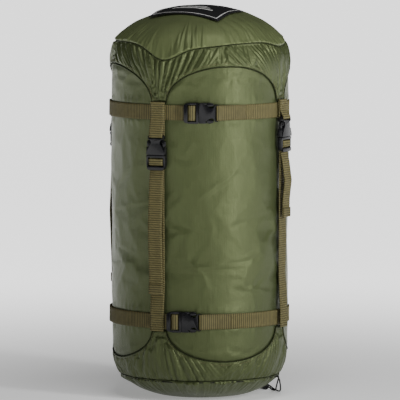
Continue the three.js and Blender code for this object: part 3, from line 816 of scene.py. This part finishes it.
def drawn_folds(azimuth, radius):
    """Long soft folds across the crown, from its patch out to its right shoulder."""
    turn = turn_from(48, azimuth)
    sideways = math.radians(turn) * radius
    across = lobe(sideways / (15 * MM) + 0.3 * noise.noise(Vector((radius * 20, 2.2, 7.1))))
    strength = math.exp(-((turn / 26) ** 2)) * smoothstep(45 * MM, 65 * MM, radius)
    strength *= 1 - smoothstep(92 * MM, 108 * MM, radius)
    return 1.5 * MM * strength * (across - 0.5)


def flatten_uv(piece):
    """Lays a disc's UV map out from above, so that its weave runs straight across it."""
    for loop, corner in zip(piece.data.loops, piece.data.uv_layers.active.data):
        point = piece.data.vertices[loop.vertex_index].co
        corner.uv = (point.x, point.y)


def ring(name, spine, radius):
    """A closed cord round the sack that follows spine(azimuth)."""

    def place(u, v):
        azimuth = STRAPS["front_left"] + 360 * (v % 1.0)
        along = (spine(azimuth + 0.2) - spine(azimuth - 0.2)).normalized()
        out = on_azimuth(azimuth, 1, 0)
        side = along.cross(out).normalized()
        turn = 2 * math.pi * (u % 1.0)
        return spine(azimuth) + (out * math.cos(turn) + side * math.sin(turn)) * radius

    piece = woven_grid(name, 10, 720, place, (7 * MM, 0.9))
    with editing(piece):
        bpy.ops.mesh.normals_make_consistent(inside=False)
    return piece


def stitches(name, runs, pitch=3.2 * MM):
    """Rows of raised stitches, one row along each run of points."""
    curve = bpy.data.curves.new(name, "CURVE")
    curve.dimensions = "3D"
    for run in runs:
        for a, b in zip(run, run[1:]):
            count = max(1, round((b - a).length / pitch))
            for i in range(count):
                spline = curve.splines.new("POLY")
                spline.points.add(1)
                for point, share in zip(spline.points, (0.14, 0.86)):
                    point.co = (*a.lerp(b, (i + share) / count), 1)
    curve.bevel_depth = 0.28 * MM
    curve.bevel_resolution = 1
    curve.use_fill_caps = True
    select_only(linked(name, curve))
    bpy.ops.object.convert(target="MESH")
    bpy.ops.object.shade_smooth()
    return bpy.context.object


def boxed_cross(azimuth, radius, low, high):
    """A box stitch with its cross, on a strap's face, between two heights."""
    half = 7.5 * MM
    a = math.radians(azimuth)
    across = Vector((math.cos(a), math.sin(a), 0))
    turns = ((-1, low), (1, low), (1, high), (-1, high), (-1, low))
    corners = [on_azimuth(azimuth, radius, height) + across * side * half for side, height in turns]
    return [corners, [corners[0], corners[2]], [corners[1], corners[3]]]


class SACK_OT_stitching(bpy.types.Operator):
    """Makes the stitching along both hems and the boxed crosses that hold the straps"""

    bl_idname = "sack.stitching"
    bl_label = "Stitching"

    def execute(self, context):
        for body, hem, upwards in (("crown", top_hem, 1), ("base", base_hem, -1)):
            row = []
            for i in range(241):
                azimuth = STRAPS["front_left"] + 1.5 * i
                height = hem(azimuth) + upwards * 3.4 * MM
                row.append(on_azimuth(azimuth, skin_radius(height) + 0.15 * MM, height))
            piece = stitches(f"{body}_hem_stitches", [row])
            finish_piece(piece, body, "edge_binding", finish("sewing_thread"))
        upper, lower = [], []
        for name, azimuth in STRAPS.items():
            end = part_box(f"strap_{name}_upper")[1].z
            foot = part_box(f"strap_{name}_lower")[0].z
            upper += boxed_cross(azimuth, SEAT + 3.15 * MM, end - 17 * MM, end - 3 * MM)
            lower += boxed_cross(azimuth, SEAT + 4.1 * MM, foot + 3 * MM, foot + 15 * MM)
        for body, runs in (("crown", upper), ("base", lower)):
            piece = stitches(f"{body}_strap_stitches", runs, 2.6 * MM)
            finish_piece(piece, body, "webbing", finish("sewing_thread"))
        return {"FINISHED"}


class SACK_OT_bindings(bpy.types.Operator):
    """Makes the bound and piped edges of both skirts"""

    bl_idname = "sack.bindings"
    bl_label = "Bound edges"

    def execute(self, context):
        for node, body, hem, upwards in (
            ("crown_hem_piping", "crown", top_hem, 1),
            ("base_hem_piping", "base", base_hem, -1),
        ):

            def spine(azimuth, hem=hem, upwards=upwards):
                height = hem(azimuth) - upwards * 1.3 * MM
                wobble = 0.35 * MM * soft_noise(azimuth, 0, 0.008, 1, 8)
                return on_azimuth(azimuth, skin_radius(height) + 0.2 * MM + wobble, height + wobble)

            piece = ring(f"{node}_cord", spine, 0.85 * MM)
            finish_piece(piece, body, "edge_binding", finish("bound_edge_and_seam_shade"), node)
        return {"FINISHED"}


LABEL_SIZE = (104 * MM, 76 * MM)
LABEL_ASIDE, LABEL_FORWARD = 6 * MM, 23 * MM  # its middle, from the axis


class SACK_OT_label(bpy.types.Operator):
    """Makes the woven patch that lies on the crown"""

    bl_idname = "sack.label"
    bl_label = "Label"

    def execute(self, context):
        trim = context.scene.sack_trim
        length, width = LABEL_SIZE
        slant = Matrix.Rotation(math.radians(STRAPS["front_left"]), 3, "Z")

        def place(u, v):
            x = LABEL_ASIDE + length * (u - 0.5)
            y = -LABEL_FORWARD + width * (v - 0.5)
            radius = math.hypot(x, y)
            ripple = 0.5 * MM * noise.noise(Vector((x * 40, y * 40, 3.3)))
            return slant @ Vector((x, y, crown_height(radius) + 1.9 * MM + ripple))

        patch = woven_grid("label_patch_woven", 70, 52, place, (length, width))
        thicken(patch, 0.8 * MM)
        look = label_finish("woven_label", trim.label, trim.mark, (length, width))
        finish_piece(patch, "crown", "label", look, "label_patch")
        return {"FINISHED"}


# ---- Webbing ----
BAR_END, BAR_LOW, BAR_HIGH = 3.2 * MM, 2.0 * MM, 6.4 * MM  # the socket's bar
UNDER_BARS = 1.7 * MM  # the standing length's middle, off the plane that the buckle lies on
BUCKLE_LENGTH = 47.7 * MM
SEAT = 122.4 * MM  # the plane that the vertical straps' backs lie in
GIRTH_MIDDLE = GIRTH_FACE - 0.7 * MM
GIRTH_SEAT = GIRTH_MIDDLE - 0.3 * MM
GIRTH_TAIL_MIDDLE = GIRTH_MIDDLE + 1.7 * MM


def rounded(points, radius, steps=5):
    """A line with its corners rounded off."""
    corners = [Vector(p) for p in points]
    line = [corners[0]]
    for before, corner, after in zip(corners, corners[1:], corners[2:]):
        a, b = before - corner, after - corner
        if a.length < 1e-6 or b.length < 1e-6:
            continue
        start = corner + a * min(radius / a.length, 0.5)
        end = corner + b * min(radius / b.length, 0.5)
        for i in range(steps + 1):
            t = i / steps
            line.append(start * (1 - t) ** 2 + corner * 2 * t * (1 - t) + end * t**2)
    line.append(corners[-1])
    return [p for i, p in enumerate(line) if i == 0 or (p - line[i - 1]).length > 1e-5]


def bar_turn():
    """The webbing's line round the socket's bar, along and away from the buckle, outer layer first."""
    clear = 1.0 * MM
    corner = 0.8 * MM
    past, over, under = BAR_END + clear, BAR_HIGH + clear, BAR_LOW - clear
    start = 0.4 * MM
    outer = [(start, over), (past - corner, over), (past, over - corner)]
    return [*outer, (past, under + corner), (past - corner, under), (start, under)]


def ladder_turn():
    """The webbing's line round the ladder lock's middle bar and out under its end bar."""
    turn = [(34.3, 1.7), (33, 1.7), (33, 7.1), (40.5, 7.1), (41, 3.5), (48, 3.5)]
    return [(along * MM, away * MM) for along, away in turn]


def webbing(name, line, across, ripple=0.0, seed=0.0):
    """A length of ribbed webbing that follows a line, with its width along across."""
    look = bpy.context.scene.sack_webbing
    reach = [0.0]
    for a, b in zip(line, line[1:]):
        reach.append(reach[-1] + (b - a).length)
    length = reach[-1]
    across = Vector(across).normalized()
    line = list(line)

    def at(distance):
        for i, (a, b) in enumerate(zip(reach, reach[1:])):
            if distance <= b or i == len(reach) - 2:
                t = (distance - a) / max(b - a, 1e-9)
                return line[i].lerp(line[i + 1], t), (line[i + 1] - line[i]).normalized()

    rows = max(12, int(length / (look.rib_pitch / 4)))
    centres = [at(length * i / rows) for i in range(rows + 1)]

    def place(u, v):
        index = min(rows, round(v * rows))
        centre, along = centres[index]
        if 2 <= index <= rows - 2:
            along = (centres[index + 2][0] - centres[index - 2][0]).normalized()
        away = across.cross(along)
        distance = v * length
        rib = look.rib_height * math.cos(2 * math.pi * distance / look.rib_pitch)
        side = (u - 0.5) * look.width
        ends = smoothstep(0, 0.02, min(distance, length - distance))
        wave = ripple * ends * noise.noise(Vector((distance * 26, u * 1.3, seed)))
        sway = 0.35 * MM * ends * noise.noise(Vector((distance * 12, 5.5, seed)))
        return centre + across * (side + sway) + away * (rib + wave)

    strip = woven_grid(name, 8, rows, place, (look.width, length))
    return thicken(strip, look.thickness, 0.0)


def standing_line(points, radius, azimuth):
    """A line of radius and height, turned to its azimuth."""
    flat = rounded([(r, z, 0) for r, z in points], radius)
    return [on_azimuth(azimuth, p.x, p.y) for p in flat]


class SACK_OT_standing_straps(bpy.types.Operator):
    """Makes each vertical strap: its sewn loop, its standing length and its free tail"""

    bl_idname = "sack.standing_straps"
    bl_label = "Vertical straps"

    def execute(self, context):
        for name, azimuth in STRAPS.items():
            top = BUCKLE_TOPS[name]
            a = math.radians(azimuth)
            across = (math.cos(a), math.sin(a), 0)
            place = lambda p: (SEAT + p[1], top - p[0])
            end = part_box(f"strap_{name}_upper")[1].z
            loop = [
                (SEAT + 2.4 * MM, end),
                (SEAT + 2.4 * MM, max(top + 8 * MM, min(end - 18 * MM, top + 22 * MM))),
                *map(place, bar_turn()),
                (SEAT + 0.7 * MM, min(end - 8 * MM, top + 14 * MM)),
                (SEAT + 0.7 * MM, end),
            ]
            upper = webbing(f"{name}_sewn_loop", standing_line(loop, 2.5 * MM, azimuth), across)
            finish_piece(upper, "crown", "webbing", finish("ribbed_webbing"), f"strap_{name}_upper")

            crossing = SEAT + 3.3 * MM
            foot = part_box(f"strap_{name}_lower")[0].z
            lower = [
                place((35 * MM, UNDER_BARS)),
                place((52 * MM, UNDER_BARS)),
                (SEAT + 0.7 * MM, 165 * MM),
                (crossing, 126 * MM),
                (crossing, foot),
            ]
            line = standing_line(lower, 8 * MM, azimuth)
            standing = webbing(f"{name}_standing_length", line, across, 0.7 * MM, azimuth)
            finish_piece(standing, None, "webbing", finish("ribbed_webbing"), f"strap_{name}_lower")
            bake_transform(standing)

            lying = SEAT + 6.2 * MM
            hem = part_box(f"strap_{name}_tail")[0].z + 0.7 * MM
            tail = [
                *map(place, ladder_turn()),
                (lying, top - 62 * MM),
                (lying + 3.5 * MM, (top - 62 * MM + hem) / 2 + 12 * MM),
                (lying + 0.6 * MM, hem + 24 * MM),
                (lying, hem),
                (lying + 1.7 * MM, hem),
                (lying + 1.7 * MM, hem + 12 * MM),
            ]
            free = webbing(f"{name}_free_tail", standing_line(tail, 1.1 * MM, azimuth), across)
            finish_piece(free, "crown", "webbing", finish("ribbed_webbing"), f"strap_{name}_tail")
        return {"FINISHED"}


class SACK_OT_girth_straps(bpy.types.Operator):
    """Makes the two girth straps, each round the sack and back over itself as a tail"""

    bl_idname = "sack.girth_straps"
    bl_label = "Girth straps"

    def execute(self, context):
        for name, height in GIRTHS.items():
            turn = Matrix.Rotation(math.radians(GIRTH_AZIMUTHS[name]), 3, "Z")
            half = BUCKLE_LENGTH / 2
            place = lambda p: (half - p[0], -(GIRTH_SEAT + p[1]), 0)

            def arc(radius, start, end, steps):
                azimuths = [start + (end - start) * i / steps for i in range(steps + 1)]
                return [on_azimuth(azimuth, radius, 0) for azimuth in azimuths]

            line = rounded(
                [*arc(GIRTH_TAIL_MIDDLE, 29, 19, 2), *map(place, bar_turn()), *arc(GIRTH_MIDDLE, 18, 20, 1)],
                2 * MM,
                4,
            )
            line += arc(GIRTH_MIDDLE, 26, 338, 104)
            line += rounded(
                [
                    *arc(GIRTH_MIDDLE, 342, 344.5, 1),
                    place((48.5 * MM, UNDER_BARS)),
                    *map(place, ladder_turn()),
                    *arc(GIRTH_TAIL_MIDDLE, 344.5, 340, 1),
                ],
                1.1 * MM,
                5,
            )
            line += arc(GIRTH_TAIL_MIDDLE, 332, 262, 24)
            placed = [turn @ point + Vector((0, 0, height)) for point in line]
            strap = webbing(f"{name}_webbing", placed, (0, 0, 1), 0.25 * MM, height)
            body = "crown" if name == "upper_girth" else "base"
            finish_piece(strap, body, "webbing", finish("ribbed_webbing"), f"{name}_strap")
        return {"FINISHED"}


# ---- Hard parts ----
def moulded(node, bevel, name):
    """A copy of a CAD part as it leaves a mould, with its edges rounded."""
    piece = linked(name, frame["nodes"][node].data.copy())
    with editing(piece):
        bpy.ops.mesh.remove_doubles(threshold=SAME_PLACE)
        bpy.ops.mesh.dissolve_limited(angle_limit=math.radians(2))
    edge = piece.modifiers.new("edge", "BEVEL")
    edge.width = bevel
    edge.segments = 3
    edge.limit_method = "ANGLE"
    edge.angle_limit = math.radians(35)
    edge.use_clamp_overlap = True
    bpy.ops.object.modifier_apply(modifier=edge.name)
    bpy.ops.object.shade_smooth_by_angle(angle=math.radians(40))
    return piece


class SACK_OT_buckles(bpy.types.Operator):
    """Makes the side-release buckles, each a socket, a ladder-lock frame and two prongs"""

    bl_idname = "sack.buckles"
    bl_label = "Buckles"

    def execute(self, context):
        for body, members in frame["record"]["behaviour"]["bodies"].items():
            for node in members:
                if "buckle" in node:
                    piece = moulded(node, 0.45 * MM, f"{node}_moulding")
                    finish_piece(piece, body, "buckle_plastic", finish("moulded_plastic"), node)
        return {"FINISHED"}


LOCK_PLACE = (116, 95 * MM, 5.4 * MM)  # azimuth, radius and height of the cord lock's middle


class SACK_OT_cord_lock(bpy.types.Operator):
    """Makes the cord lock and the spring inside it"""

    bl_idname = "sack.cord_lock"
    bl_label = "Cord lock"

    def execute(self, context):
        for node, body in (("cord_lock_barrel", "base"), ("cord_lock_plunger", "cord_lock_plunger")):
            piece = moulded(node, 0.4 * MM, f"{node}_moulding")
            finish_piece(piece, body, "buckle_plastic", finish("moulded_plastic"), node)
        coil = linked("cord_lock_coil", frame["nodes"]["cord_lock_spring"].data.copy())
        finish_piece(coil, None, "spring_steel", finish("spring_wire"), "cord_lock_spring")
        middle, along = on_azimuth(*LOCK_PLACE), on_azimuth(LOCK_PLACE[0] + 90, 1, 0)
        reach = [vertex.co.dot(along) for vertex in coil.data.vertices]
        start, end = middle + along * min(reach), middle + along * max(reach)
        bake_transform(coil)
        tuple(start)
        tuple(end)
        return {"FINISHED"}


# The free drawcord's route, as azimuth, radius and height in millimetres: out of its channel, down to the
# floor, through the lock, round its end loop, back through the lock and up into the channel again.
CORD_ROUTE = (
    (71, 107.6, 27.4), (71.2, 109.6, 26.9), (72.4, 111.4, 23.6), (75.4, 111.2, 17.4),
    (80.5, 110, 10.4), (87, 108.6, 4.9), (94, 107.4, 1.8), (101, 106, 1.3),
    (108, 104.6, 2.4), (114.4, 102.6, 5.7), (116, 100.4, 6.55), (116, 95, 6.55),
    (116, 89.6, 6.5), (116.8, 86.4, 4.8), (119.2, 82.6, 2.2), (120.6, 78.2, 1.3),
    (118.2, 73.9, 1.25), (113.2, 73.9, 1.25), (110.9, 78.6, 1.3), (112.6, 83.6, 2.2),
    (115, 87.6, 3.9), (116, 90.4, 4.25), (116, 95, 4.25), (116, 100.2, 4.2),
    (115, 102.8, 3), (109, 102.4, 1.5), (101.5, 102.6, 1.6), (93, 102.4, 4.4),
    (85.6, 103.6, 10.6), (80.2, 106.2, 18.4), (77.4, 108.4, 24.6), (77, 107.6, 27.2),
)
CORD_DIAMETER = 2 * MM


class SACK_OT_drawcord(bpy.types.Operator):
    """Makes the drawcord's free loop and finishes the ring in its channel"""

    bl_idname = "sack.drawcord"
    bl_label = "Drawcord"

    def execute(self, context):
        points = [on_azimuth(azimuth, radius * MM, height * MM) for azimuth, radius, height in CORD_ROUTE]
        curve = bpy.data.curves.new("drawcord_free_loop", "CURVE")
        curve.dimensions = "3D"
        spline = curve.splines.new("BEZIER")
        spline.bezier_points.add(len(points) - 1)
        for knot, point in zip(spline.bezier_points, points):
            knot.co = point
            knot.handle_left_type = knot.handle_right_type = "AUTO"
        curve.bevel_depth = CORD_DIAMETER / 2
        curve.bevel_resolution = 4
        curve.resolution_u = 8
        curve.use_fill_caps = True
        cord = linked("drawcord_free_loop", curve)
        curve.materials.append(finish("braided_cord"))
        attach(cord, "base")
        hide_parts("drawcord_loop")
        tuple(points[0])
        ring = frame["nodes"]["drawcord_ring"]
        ring.data.materials.clear()
        ring.data.materials.append(finish("braided_cord"))
        return {"FINISHED"}


class SACK_OT_load(bpy.types.Operator):
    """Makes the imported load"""

    bl_idname = "sack.load"
    bl_label = "Packed load"

    def execute(self, context):
        piece = linked("stuffed_load", frame["nodes"]["packed_load"].data.copy())
        with editing(piece):
            bpy.ops.mesh.remove_doubles(threshold=SAME_PLACE)
            bpy.ops.mesh.tris_convert_to_quads()
            bpy.ops.mesh.subdivide(number_cuts=3)
        bpy.ops.object.shade_smooth()
        finish_piece(piece, None, "filling", finish("soft_filling"), "packed_load")
        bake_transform(piece)
        return {"FINISHED"}


# ---- Stage ----
CAMERA_AWAY = 7.0
CAMERA_ELEVATION = 5
FIELD_WIDTH = 0.539  # how much the camera takes in at the sack's axis, in metres
CAMERA_AIM = Vector((0, 0, 0.262))
LIGHT_AIM = Vector((0, 0, 0.26))


def soft_light(name, azimuth, away, height, size, power):
    """A rectangular light that faces the sack's middle."""
    data = bpy.data.lights.new(name, "AREA")
    data.shape = "RECTANGLE"
    data.size, data.size_y = size
    data.energy = power
    lamp = linked(name, data)
    lamp.location = on_azimuth(azimuth, away, height)
    lamp.rotation_euler = (LIGHT_AIM - lamp.location).to_track_quat("-Z", "Y").to_euler()


class SACK_OT_stage(bpy.types.Operator):
    """Sets up the floor, the lights and the camera"""

    bl_idname = "sack.stage"
    bl_label = "Stage"

    def execute(self, context):
        bpy.ops.object.select_all(action="DESELECT")
        bpy.ops.mesh.primitive_plane_add(size=60, location=(0, 0, -0.2 * MM))
        floor = context.object
        floor.name = "floor"
        floor.data.materials.append(floor_finish("pale_floor"))

        world = bpy.data.worlds.new("studio")
        world.use_nodes = True
        world.node_tree.nodes["Background"].inputs[0].default_value = (1, 1, 1, 1)
        world.node_tree.nodes["Background"].inputs[1].default_value = 0.05
        context.scene.world = world
        soft_light("key", 46, 1.9, 0.75, (0.24, 1.3), 29)
        soft_light("overhead", 10, 0.7, 2.0, (0.8, 0.8), 14)

        elevation = math.radians(CAMERA_ELEVATION)
        data = bpy.data.cameras.new("camera")
        data.sensor_width = 36
        data.lens = data.sensor_width * CAMERA_AWAY / FIELD_WIDTH
        camera = linked("camera", data)
        camera.location = CAMERA_AIM + Vector((0, -math.cos(elevation), math.sin(elevation))) * CAMERA_AWAY
        camera.rotation_euler = (math.pi / 2 - elevation, 0, 0)
        context.scene.camera = camera
        return {"FINISHED"}


class SACK_PT_panel(bpy.types.Panel):
    """Lists the sack's pieces in the order in which they are made"""

    bl_idname = "SACK_PT_panel"
    bl_label = "Compression sack"
    bl_space_type = "VIEW_3D"
    bl_region_type = "UI"
    bl_category = "Sack"

    def draw(self, context):
        for settings in (context.scene.sack_cloth, context.scene.sack_webbing, context.scene.sack_trim):
            box = self.layout.box()
            for name in settings.bl_rna.properties.keys():
                if name not in ("rna_type", "name"):
                    box.prop(settings, name)
        for operator in OPERATORS:
            self.layout.operator(operator.bl_idname)


OPERATORS = (
    SACK_OT_stage,
    SACK_OT_cord_lock,
    SACK_OT_drawcord,
    SACK_OT_load,
    SACK_OT_wall,
    SACK_OT_skirts,
    SACK_OT_discs,
    SACK_OT_bindings,
    SACK_OT_label,
    SACK_OT_standing_straps,
    SACK_OT_girth_straps,
    SACK_OT_buckles,
    SACK_OT_stitching,
)
CLASSES = (SackClothSettings, SackWebbingSettings, SackTrimSettings, *OPERATORS, SACK_PT_panel)


def register():
    for each in CLASSES:
        bpy.utils.register_class(each)
    bpy.types.Scene.sack_cloth = bpy.props.PointerProperty(type=SackClothSettings)
    bpy.types.Scene.sack_webbing = bpy.props.PointerProperty(type=SackWebbingSettings)
    bpy.types.Scene.sack_trim = bpy.props.PointerProperty(type=SackTrimSettings)


def unregister():
    del bpy.types.Scene.sack_cloth
    del bpy.types.Scene.sack_webbing
    del bpy.types.Scene.sack_trim
    for each in reversed(CLASSES):
        bpy.utils.unregister_class(each)


def main():
    register()
    for operator in OPERATORS:
        group, name = operator.bl_idname.split(".")
        getattr(getattr(bpy.ops, group), name)()


if __name__ == "__main__":
    main()
